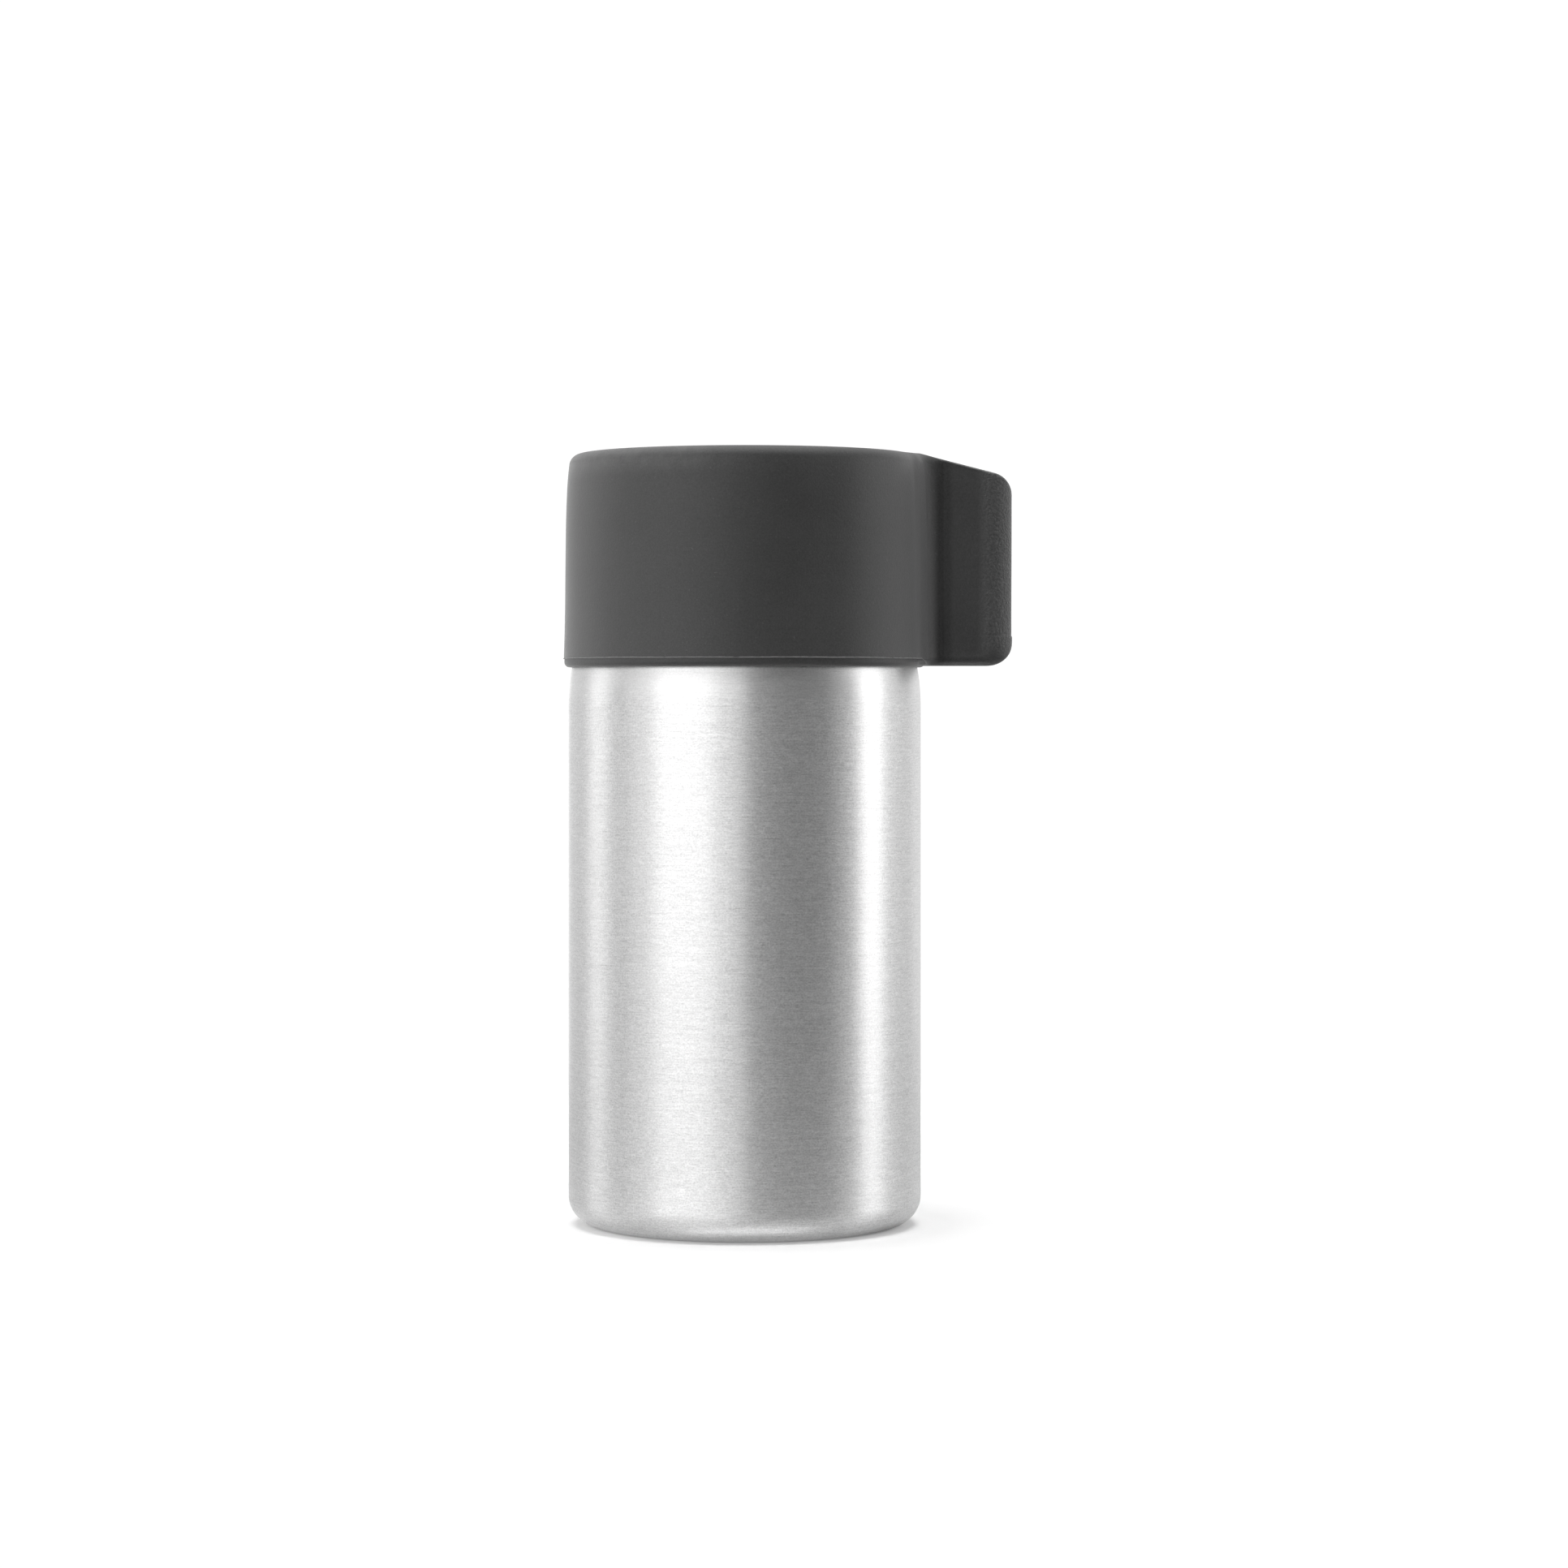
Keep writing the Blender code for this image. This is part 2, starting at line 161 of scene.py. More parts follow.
def can_profile():
    """Outside from the middle of the underside up to the rim, then down the inside."""
    p = [(0.0, 0.12)]
    p += line((0.0, 0.12), (0.45, 0.12), 2)
    p += s_curve((0.45, 0.12), (0.9, 0.0), 4)
    p += line((0.9, 0.0), (9.4, 0.0), 10)
    p += [(9.4 + 0.5 * t, 0.35 * (t * t * (3 - 2 * t))) for t in (0.2, 0.4, 0.6, 0.8, 1.0)]
    p += line((9.9, 0.35), (11.25, 0.35), 3)
    p += [
        (11.25 + 0.5 * t, 0.35 * (1 - t * t * (3 - 2 * t)))
        for t in (0.2, 0.4, 0.6, 0.8, 1.0)
    ]
    p += line((11.75, 0.0), (13.76, 0.0), 3)
    p += arc(13.76, 2.74, 2.74, 2.74, -90, 0, 24)[1:]
    p += line((16.5, 2.74), (16.5, 48.4), 24)
    p += arc(13.5, 48.4, 3.0, 8.0, 0, 90, 30)[1:]
    p += arc(13.5, 56.9, 0.5, 0.5, 270, 180, 6)[1:]
    p += [(r, z, "out") for r, z in line((13.0, 56.9), (13.0, 65.1), 66)]
    p += s_curve((13.0, 65.1), (12.355, 65.85), 6)
    p += line((12.355, 65.85), (12.358, 66.2), 2)
    p += arc(12.4, 66.8, 0.6, 0.6, -94, 180, 26)[1:]
    p += line((11.8, 66.8), (11.8, 65.7), 3)
    p += s_curve((11.8, 65.7), (12.45, 64.95), 6)
    p += [(r, z, "in") for r, z in line((12.45, 64.95), (12.45, 56.95), 62)]
    p += arc(13.5, 56.95, 1.05, 1.05, 180, 270, 8)[1:]
    p += arc(13.5, 48.4, 2.5, 7.5, 90, 0, 20)[1:]
    p += line((16.0, 48.4), (16.0, 3.2), 8)
    p += arc(13.8, 3.2, 2.2, 2.2, 0, -90, 12)[1:]
    p += line((13.8, 1.0), (0.0, 1.0), 10)
    return p


def neck_push(r, z, angle, tag):
    if tag == "out":
        return r + 0.9 * helix(z, angle, 58.2, 0.0, 1.45, 0.72)
    if tag == "in":
        return r + 0.92 * helix(z, angle, 58.2, 0.0, 1.1, 0.72)
    return np.full(angle.shape, r)


# ---------------------------------------------------------------- the cap and the ring


def cap_profile():
    p = [(0.0, 69.0, ""), (0.35, 68.9), (0.8, 68.92)]
    p += s_curve((0.8, 68.92), (1.2, 69.0), 3)
    p += line((1.2, 69.0), (10.2, 69.0), 8)
    p += arc(10.2, 68.8, 0.2, 0.2, 90, 0, 4)[1:]
    p += line((10.4, 68.8), (10.4, 67.2), 3)
    p += arc(10.6, 67.2, 0.2, 0.2, 180, 270, 4)[1:]
    p += line((10.6, 67.0), (11.0, 67.0), 1)
    p += arc(11.0, 67.2, 0.2, 0.2, 270, 360, 4)[1:]
    p += line((11.2, 67.2), (11.2, 68.9), 3)
    p += arc(11.3, 68.9, 0.1, 0.1, 180, 90, 3)[1:]
    p += line((11.3, 69.0), (13.95, 69.0), 3)
    p += arc(13.95, 68.75, 0.25, 0.25, 90, 0, 4)[1:]
    p += [(r, z, "in") for r, z in line((14.2, 68.75), (14.2, 56.9), 96)]
    p += arc(14.45, 56.85, 0.25, 0.25, 180, 270, 4)[1:]
    p += line((14.45, 56.6), (14.85, 56.6), 1)
    p += arc(14.85, 56.85, 0.25, 0.25, 270, 360, 4)[1:]
    p += line((15.1, 56.85), (15.1, 69.7), 10)
    p += arc(14.6, 69.7, 0.5, 0.5, 0, 90, 6)[1:]
    p += line((14.6, 70.2), (0.0, 70.2), 6)
    return p[::1]


def cap_push(r, z, angle, tag):
    if tag == "in":
        return r - 0.88 * helix(z, angle, 57.6, 126.0, 1.0, 0.6)
    return np.full(angle.shape, r)


def seal_profile():
    e = 0.3
    p = arc(13.9 - e, 67.6 + e, e, e, -90, 0, 5)
    p += arc(13.9 - e, 68.8 - e, e, e, 0, 90, 5)
    p += line((13.9 - e, 68.8), (11.5 + e, 68.8), 3)
    p += arc(11.5 + e, 68.8 - e, e, e, 90, 180, 5)[1:]
    p += arc(11.5 + e, 67.6 + e, e, e, 180, 270, 5)
    p += line((11.5 + e, 67.6), (12.05, 67.6), 1)
    p += s_curve((12.05, 67.6), (12.25, 67.68), 2)
    p += line((12.25, 67.68), (12.85, 67.68), 2)
    p += s_curve((12.85, 67.68), (13.1, 67.6), 2)
    return p


# ---------------------------------------------------------------- the grip cover

TOP, BOTTOM = 72.0, 52.2
REACH, HALF = 25.08, 2.45
SLOPE, PEAK = math.radians(14.4), 72.15  # the loop's top, at radius 15.7

_station_z = np.array([51.0, 52.85, 53.8, 55.3, 56.8, 58.3, 61.4, 62.9, 65.9, 67.5, 69.0, 70.5, 71.1, 73.0])
_station_r = np.array([17.0, 16.94, 16.91, 16.87, 16.84, 16.82, 16.80, 16.78, 16.74, 16.69, 16.62, 16.51, 16.43, 16.1])
_fine_z = np.arange(50.0, 74.0, 0.05)
_fine_r = np.interp(_fine_z, _station_z, _station_r)
_bell = np.exp(-0.5 * (np.arange(-60, 61) * 0.05 / 0.7) ** 2)
_fine_r = np.convolve(np.pad(_fine_r, 60, mode="edge"), _bell / _bell.sum(), "valid")


def round_max(a, b, r):
    """Both shapes at once, their shared edge rounded to radius r."""
    return (
        np.minimum(np.maximum(a + r, b + r), 0)
        + np.hypot(np.maximum(a + r, 0), np.maximum(b + r, 0))
        - r
    )


def round_min(a, b, r):
    """Either shape, with a fillet of radius r where they meet."""
    return -round_max(-a, -b, r)


def wall_radius(z):
    """Outside of the cover without its loop. The mould's two halves meet at 52.88."""
    return np.interp(z, _fine_z, _fine_r) - 0.06 * (1 - smoothstep(52.83, 52.90, z))


def cavity_radius(z):
    t = np.clip((z - 48.4) / 8.0, 0, 1)
    shoulder = 13.5 + 3.0 * np.sqrt(1 - t * t) + 0.25
    share = np.clip(0.5 + 0.5 * (shoulder - 15.35) / 0.3, 0, 1)
    return 15.35 + (shoulder - 15.35) * share + 0.3 * share * (1 - share)


def loop_side(x, z, reach):
    """Signed distance of the loop seen from the front: sloped top, two round corners."""
    s, c = math.sin(SLOPE), math.cos(SLOPE)
    right = x - reach
    top = (x - 15.7) * s + (z - PEAK) * c
    bottom = BOTTOM - z
    d = np.maximum(np.maximum(right, top), bottom)
    r = 2.3
    cx = REACH - r
    cz = PEAK - math.tan(SLOPE) * (cx - 15.7) - r / c
    px, pz = x - cx, z - cz
    d = np.where((pz >= 0) & (px * c - pz * s >= 0), np.hypot(px, pz) - r, d)
    r = 2.4
    px, pz = x - (reach - r), (BOTTOM + r) - z
    return np.where((px >= 0) & (pz >= 0), np.hypot(px, pz) - r, d)


def cover_distance(x, y, z):
    """Signed distance to the cover's surface, in mm, negative inside the silicone."""
    rho = np.hypot(x, y)
    side = np.abs(y)
    wall = rho - wall_radius(z)
    body = round_max(round_max(wall, z - TOP, 0.92), 52.06 - z, 0.5)

    # The lower end of the fold stands proud by the mould's small mismatch.
    reach = REACH - 0.03 + 0.07 * (1 - smoothstep(54.9, 55.02, z))
    fold_x = reach - HALF
    panel = (
        smoothstep(18.2, 18.5, x)
        * (1 - smoothstep(21.6, 23.0, x))
        * smoothstep(53.0, 53.4, z)
    )
    slope_gap = -((x - 15.7) * math.sin(SLOPE) + (z - PEAK) * math.cos(SLOPE))
    panel = panel * smoothstep(0.12, 0.3, slope_gap)
    plan = np.where(x > fold_x, np.hypot(x - fold_x, y), side) - HALF + 0.06 * panel
    # A slanted web, facing half sideways, fills the corner between wall and loop.
    web = 0.953 * wall + 0.303 * plan - 0.78
    flank = np.minimum(wall, web) - np.maximum(0.2 - np.abs(wall - web), 0) ** 2 / 0.8
    plan = round_min(flank, plan, 1.0)
    plan = plan + (wall - plan) * smoothstep(5.3, 5.85, side)
    edge = 0.3 + 0.5 * (1 - smoothstep(56.0, 66.0, z))
    edge_at_wall = 0.55 + 0.37 * smoothstep(56.0, 66.0, z)
    near_wall = smoothstep(2.6, 3.6, side)
    edge = edge + (edge_at_wall - edge) * near_wall
    edge = edge * (1 - 0.8 * smoothstep(23.2, 24.8, x))
    loop = round_max(plan, loop_side(x, z, reach), edge)
    crown = round_max(plan, z - TOP, 0.92)
    loop = np.maximum(np.maximum(loop, side - 5.9), np.maximum(14.0 - x, crown))
    whole = np.minimum(body, loop)

    cavity = round_max(rho - cavity_radius(z), z - 70.45, 0.5)
    whole = round_max(whole, -cavity, 0.08)
    along = np.clip(x, 18.85, 22.45)
    slot = np.hypot(x - along, y) - 1.15
    return round_max(whole, -slot, 0.3)


def spaced(*stretches):
    """Grid lines from (start, end, step) stretches that follow each other."""
    lines = []
    for start, end, step in stretches:
        count = max(1, round((end - start) / step))
        lines += list(np.linspace(start, end, count, endpoint=False))
    return np.array(lines + [stretches[-1][1]])


def settle(points, distance, rounds=6):
    """Moves points along the gradient onto the surface."""
    h = 0.004
    for _ in range(rounds):
        x, y, z = points.T
        d = distance(x, y, z)
        g = np.stack(
            [
                distance(x + h, y, z) - distance(x - h, y, z),
                distance(x, y + h, z) - distance(x, y - h, z),
                distance(x, y, z + h) - distance(x, y, z - h),
            ],
            1,
        ) / (2 * h)
        step = d / np.maximum((g * g).sum(1), 0.25)
        points = points - g * np.clip(step, -0.1, 0.1)[:, None]
    return points, g


def surface_net(distance, theta, rho, z):
    """A quad mesh of distance = 0 on a ring-shaped grid, closed over the axis."""
    n_t, n_r, n_z = len(theta), len(rho), len(z)
    t3, r3, z3 = np.meshgrid(theta, rho, z, indexing="ij")
    x3, y3 = r3 * np.cos(t3), r3 * np.sin(t3)
    f = np.empty(t3.shape)
    for i in range(n_t):
        f[i] = distance(x3[i], y3[i], z3[i])
    inside = f < 0

    corners = [(a, b, c) for a in (0, 1) for b in (0, 1) for c in (0, 1)]

    def shifted(values, a, b, c):
        rolled = np.roll(values, -a, axis=0) if a else values
        return rolled[:, b : n_r - 1 + b, c : n_z - 1 + c]

    count = sum(shifted(inside, *k).astype(np.int8) for k in corners)
    ci, cj, ck = np.nonzero((count > 0) & (count < 8))
    number = np.full((n_t, n_r - 1, n_z - 1), -1, np.int64)
    number[ci, cj, ck] = np.arange(len(ci))

    values, places = {}, {}
    for a, b, c in corners:
        at = ((ci + a) % n_t, cj + b, ck + c)
        values[a, b, c] = f[at]
        places[a, b, c] = np.stack([x3[at], y3[at], z3[at]], 1)
    total, weight = np.zeros((len(ci), 3)), np.zeros(len(ci))
    for p in corners:
        for axis in range(3):
            if p[axis]:
                continue
            q = tuple(1 if n == axis else v for n, v in enumerate(p))
            crosses = (values[p] < 0) != (values[q] < 0)
            d = np.where(crosses, values[p] - values[q], 1.0)
            t = np.clip(values[p] / d, 0, 1)[:, None]
            total += np.where(crosses[:, None], places[p] + (places[q] - places[p]) * t, 0)
            weight += crosses
    points = total / weight[:, None]

    quads = []
    # Grid edges that run along z, then along rho, then along theta.
    i, j, k = np.nonzero(inside[:, 1:-1, :-1] != inside[:, 1:-1, 1:])
    j = j + 1
    before = (i - 1) % n_t
    quads.append(np.stack([number[before, j - 1, k], number[i, j - 1, k], number[i, j, k], number[before, j, k]], 1))
    i, j, k = np.nonzero(inside[:, :-1, 1:-1] != inside[:, 1:, 1:-1])
    k = k + 1
    before = (i - 1) % n_t
    quads.append(np.stack([number[before, j, k - 1], number[i, j, k - 1], number[i, j, k], number[before, j, k]], 1))
    after = np.roll(inside, -1, axis=0)
    i, j, k = np.nonzero(inside[:, 1:-1, 1:-1] != after[:, 1:-1, 1:-1])
    j, k = j + 1, k + 1
    quads.append(np.stack([number[i, j - 1, k - 1], number[i, j, k - 1], number[i, j, k], number[i, j - 1, k]], 1))
    quads = np.concatenate(quads)
    quads = quads[(quads >= 0).all(1)]

    points, slope = settle(points, distance)

    # Turn each quad to face out of the silicone.
    a, b, c, d = (points[quads[:, n]] for n in range(4))
    facing = (np.cross(c - a, d - b) * slope[quads].mean(1)).sum(1)
    quads[facing < 0] = quads[facing < 0][:, ::-1]
    faces = quads.tolist()

    # The innermost ring of cells round the axis gets a fan to one middle point.
    points = points.tolist()
    level = [k for k in range(n_z - 1) if (number[:, 0, k] >= 0).all()]
    for k in level:
        ring = number[:, 0, k]
        middle = len(points)
        height = float(np.mean([points[v][2] for v in ring]))
        points.append([0.0, 0.0, height])
        up = height > 71
        for n in range(n_t):
            a, b = int(ring[n]), int(ring[(n + 1) % n_t])
            faces.append([a, b, middle] if up else [b, a, middle])
    return np.array(points), faces


def build_cover():
    half = spaced((0.0, 14.0, 0.4), (14.0, 20.0, 0.6), (20.0, 180.0, 2.0))
    theta = np.radians(np.concatenate([-half[1:][::-1], half[:-1]]))
    rho = spaced((0.4, 14.8, 0.6), (14.8, 17.3, 0.1), (17.3, 25.5, 0.14))
    z = spaced((51.9, 52.7, 0.06), (52.7, 53.05, 0.035), (53.05, 54.6, 0.15), (54.6, 55.3, 0.07), (55.3, 66.0, 0.40), (66.0, 70.0, 0.22), (70.0, 72.2, 0.07))
    points, faces = surface_net(cover_distance, theta, rho, z)
    return mesh_object("lid_cover_skin", points, faces)


def build_flash():
    """The thin torn film left where the mould's halves meet, round the lip."""
    rng = np.random.default_rng(11)
    count = 900
    angle = np.linspace(0, 2 * math.pi, count, endpoint=False)
    turned = np.abs((angle + math.pi) % (2 * math.pi) - math.pi)
    deg = np.degrees(turned)
    # It runs level round the cover and dips to the lower edge beside the loop.
    z = 52.89 - 0.45 * (1 - smoothstep(11.2, 16.2, deg))
    z = z + 0.008 * np.sin(5 * angle + 1.0) + 0.006 * np.sin(13 * angle)
    noise = np.zeros(count)
    for waves, size in ((7, 0.5), (19, 0.5), (47, 0.7), (111, 0.7), (230, 0.5)):
        noise += size * np.cos(waves * angle + rng.uniform(0, 2 * math.pi))
    tall = np.clip(0.045 + 0.028 * noise, 0.004, 0.1)
    tall = tall * (0.25 + 0.75 * smoothstep(11.3, 12.4, deg))
    start = np.stack([17.2 * np.cos(angle), 17.2 * np.sin(angle), z], 1)
    for _ in range(14):
        x, y, zz = start.T
        d = cover_distance(x, y, zz)
        out = np.stack([np.cos(angle), np.sin(angle)], 1)
        start[:, :2] -= out * np.clip(d, -0.3, 0.3)[:, None]
    out = np.stack([np.cos(angle), np.sin(angle), np.zeros(count)], 1)
    up = np.array([0.0, 0.0, 1.0])
    thick = 0.03
    rows = [
        start - 0.06 * out - 2.2 * thick * up,
        start + 0.5 * tall[:, None] * out - 1.2 * thick * up,
        start + tall[:, None] * out - 0.6 * thick * up,
        start + tall[:, None] * out + 0.6 * thick * up,
        start + 0.5 * tall[:, None] * out + 1.2 * thick * up,
        start - 0.06 * out + 2.2 * thick * up,
    ]
    points = np.concatenate(rows)
    faces = []
    kept = deg > 11.3
    for r in range(len(rows)):
        nxt = (r + 1) % len(rows)
        for i in range(count):
            j = (i + 1) % count
            if kept[i] and kept[j]:
                faces.append([r * count + i, r * count + j, nxt * count + j, nxt * count + i])
    run = [i for i in range(count) if kept[i] and kept[(i + 1) % count]]
    first = next(i for i in run if not kept[(i - 1) % count])
    last = next(i for i in run if not kept[(i + 2) % count])
    faces.append([r * count + first for r in range(len(rows))][::-1])
    faces.append([r * count + (last + 1) % count for r in range(len(rows))])
    used = sorted({v for f in faces for v in f})
    renumber = {v: n for n, v in enumerate(used)}
    faces = [[renumber[v] for v in f] for f in faces]
    return mesh_object("lid_cover_flash", points[used], faces)


# ---------------------------------------------------------------- materials


class Nodes:
    """A short way to write a node material."""

    def __init__(self, name):
        self.material = bpy.data.materials.new(name)
        self.material.use_nodes = True
        self.tree = self.material.node_tree
        self.tree.nodes.clear()
        self.out = self.tree.nodes.new("ShaderNodeOutputMaterial")
        self.shader = self.tree.nodes.new("ShaderNodeBsdfPrincipled")
        self.link(self.shader.outputs[0], self.out.inputs[0])

    def link(self, source, target):
        self.tree.links.new(source, target)

    def feed(self, socket, value):
        if isinstance(value, bpy.types.NodeSocket):
            self.link(value, socket)
        else:
            socket.default_value = value

    def add(self, kind, inputs=(), **settings):
        node = self.tree.nodes.new(kind)
        for key, value in settings.items():
            setattr(node, key, value)
        for key, value in dict(inputs).items():
            self.feed(node.inputs[key], value)
        return node

    def math(self, operation, a, b=0.0, c=0.0, clamp=False):
        node = self.tree.nodes.new("ShaderNodeMath")
        node.operation = operation
        node.use_clamp = clamp
        for socket, value in zip(node.inputs, (a, b, c)):
            self.feed(socket, value)
        return node.outputs[0]

    def between(self, value, low, high, to_low=0.0, to_high=1.0):
        node = self.add(
            "ShaderNodeMapRange",
            interpolation_type="SMOOTHSTEP",
        )
        self.feed(node.inputs["Value"], value)
        node.inputs["From Min"].default_value = low
        node.inputs["From Max"].default_value = high
        node.inputs["To Min"].default_value = to_low
        node.inputs["To Max"].default_value = to_high
        return node.outputs["Result"]

    def noise(self, vector, scale=1.0, detail=2.0, roughness=0.5, distortion=0.0):
        node = self.add("ShaderNodeTexNoise", noise_dimensions="3D")
        self.link(vector, node.inputs["Vector"])
        node.inputs["Scale"].default_value = scale
        node.inputs["Detail"].default_value = detail
        node.inputs["Roughness"].default_value = roughness
        node.inputs["Distortion"].default_value = distortion
        return node.outputs["Fac"]

    def vector(self, x, y, z):
        node = self.tree.nodes.new("ShaderNodeCombineXYZ")
        for socket, value in zip(node.inputs, (x, y, z)):
            self.feed(socket, value)
        return node.outputs[0]

    def grey(self, value):
        node = self.tree.nodes.new("ShaderNodeCombineColor")
        for socket in node.inputs:
            self.feed(socket, value)
        return node.outputs[0]

    def bump(self, height, strength, distance, normal=None):
        node = self.add("ShaderNodeBump")
        node.inputs["Strength"].default_value = strength
        node.inputs["Distance"].default_value = distance
        self.link(height, node.inputs["Height"])
        if normal is not None:
            self.link(normal, node.inputs["Normal"])
        return node.outputs["Normal"]

    def place(self):
        """The piece's own coordinates in millimetres, as three sockets."""
        where = self.add("ShaderNodeTexCoord").outputs["Object"]
        scaled = self.add("ShaderNodeVectorMath", operation="SCALE")
        self.link(where, scaled.inputs[0])
        scaled.inputs["Scale"].default_value = 1000.0
        parts = self.add("ShaderNodeSeparateXYZ")
        self.link(scaled.outputs[0], parts.inputs[0])
        return scaled.outputs[0], parts.outputs[0], parts.outputs[1], parts.outputs[2]


def along_profile(n):
    """Distance along the turned profile, in millimetres."""
    uv = n.add("ShaderNodeUVMap", uv_map="lathe")
    parts = n.add("ShaderNodeSeparateXYZ")
    n.link(uv.outputs[0], parts.inputs[0])
    return n.math("MULTIPLY", parts.outputs[1], 100.0)


def brushed_metal():
    """Bare aluminium brushed round the can: short fine grain and a few longer lines on
    the straight wall, smoother on the drawn shoulder."""
    n = Nodes("brushed_aluminium")
    where, x, y, z = n.place()
    s = along_profile(n)
    shoulder = n.between(z, 48.0, 50.6)

    def streaks(length, width, detail, shift=0.0):
        return n.noise(
            n.vector(
                n.math("MULTIPLY_ADD", x, 1 / length, shift),
                n.math("MULTIPLY", y, 1 / length),
                n.math("MULTIPLY", s, 1 / width),
            ),
            1.0,
            detail,
            0.6,
        )

    grit = streaks(0.15, 0.12, 0.0, shift=3.7)
    fine = streaks(0.6, 0.12, 1.0)
    medium = streaks(2.8, 0.14, 2.0, shift=7.3)
    broad = streaks(9.0, 1.2, 2.0, shift=2.1)
    long_lines = streaks(6.0, 0.10, 1.0, shift=31.7)
    scratch = n.between(long_lines, 0.69, 0.77)
    cloud = n.noise(where, 0.11, 2.0, 0.5)

    # Each layer varies round 0.5, so the mean stays where it is set here.
    grain = n.math("MULTIPLY_ADD", grit, 0.34, -0.17)
    grain = n.math("MULTIPLY_ADD", fine, 0.30, n.math("ADD", grain, -0.15))
    grain = n.math("MULTIPLY_ADD", medium, 0.25, n.math("ADD", grain, -0.125))
    grain = n.math("MULTIPLY", grain, n.math("MULTIPLY_ADD", shoulder, -0.45, 1.0))
    shade = n.math("MULTIPLY_ADD", broad, 0.03, n.math("ADD", grain, 0.785))
    shade = n.math("MULTIPLY_ADD", scratch, -0.09, shade)
    n.link(n.grey(shade), n.shader.inputs["Base Color"])
    n.shader.inputs["Metallic"].default_value = 1.0

    rough = n.math("MULTIPLY_ADD", fine, 0.16, 0.295)
    rough = n.math("MULTIPLY_ADD", cloud, 0.04, rough)
    rough = n.math("MULTIPLY_ADD", scratch, 0.06, rough)
    rough = n.math("MULTIPLY", rough, n.math("MULTIPLY_ADD", shoulder, -0.12, 1.0))
    rough = n.math("MULTIPLY_ADD", n.between(z, 49.6, 52.0), 0.06, rough)
    n.link(rough, n.shader.inputs["Roughness"])
    n.shader.inputs["Anisotropic"].default_value = 0.7
    n.shader.inputs["Anisotropic Rotation"].default_value = 0.25
    tangent = n.add("ShaderNodeTangent", direction_type="RADIAL", axis="Z")
    n.link(tangent.outputs[0], n.shader.inputs["Tangent"])

    height = n.math("MULTIPLY_ADD", medium, 0.6, n.math("MULTIPLY", fine, 0.4))
    normal = n.bump(height, 0.10, 0.00002)
    normal = n.bump(grit, 0.20, 0.00001, normal)
    soft = n.noise(where, 0.16, 1.0, 0.4)
    normal = n.bump(soft, 0.25, 0.00008, normal)
    n.link(normal, n.shader.inputs["Normal"])
    return n.material


def drawn_metal():
    """The can's inside, neck and rim: smoother drawn aluminium with faint draw lines."""
    n = Nodes("drawn_aluminium")
    where, x, y, z = n.place()
    s = along_profile(n)
    rings = n.noise(
        n.vector(n.math("MULTIPLY", x, 0.05), n.math("MULTIPLY", y, 0.05), n.math("MULTIPLY", s, 2.6)),
        1.0,
        1.0,
        0.6,
    )
    cloud = n.noise(where, 0.35, 3.0, 0.55)
    shade = n.math("MULTIPLY_ADD", rings, 0.08, 0.72)
    shade = n.math("MULTIPLY_ADD", cloud, 0.05, shade)
    n.link(n.grey(shade), n.shader.inputs["Base Color"])
    n.shader.inputs["Metallic"].default_value = 1.0
    rough = n.math("MULTIPLY_ADD", cloud, 0.12, 0.22)
    rough = n.math("MULTIPLY_ADD", rings, 0.06, rough)
    n.link(rough, n.shader.inputs["Roughness"])
    n.link(n.bump(rings, 0.12, 0.00002), n.shader.inputs["Normal"])
    return n.material


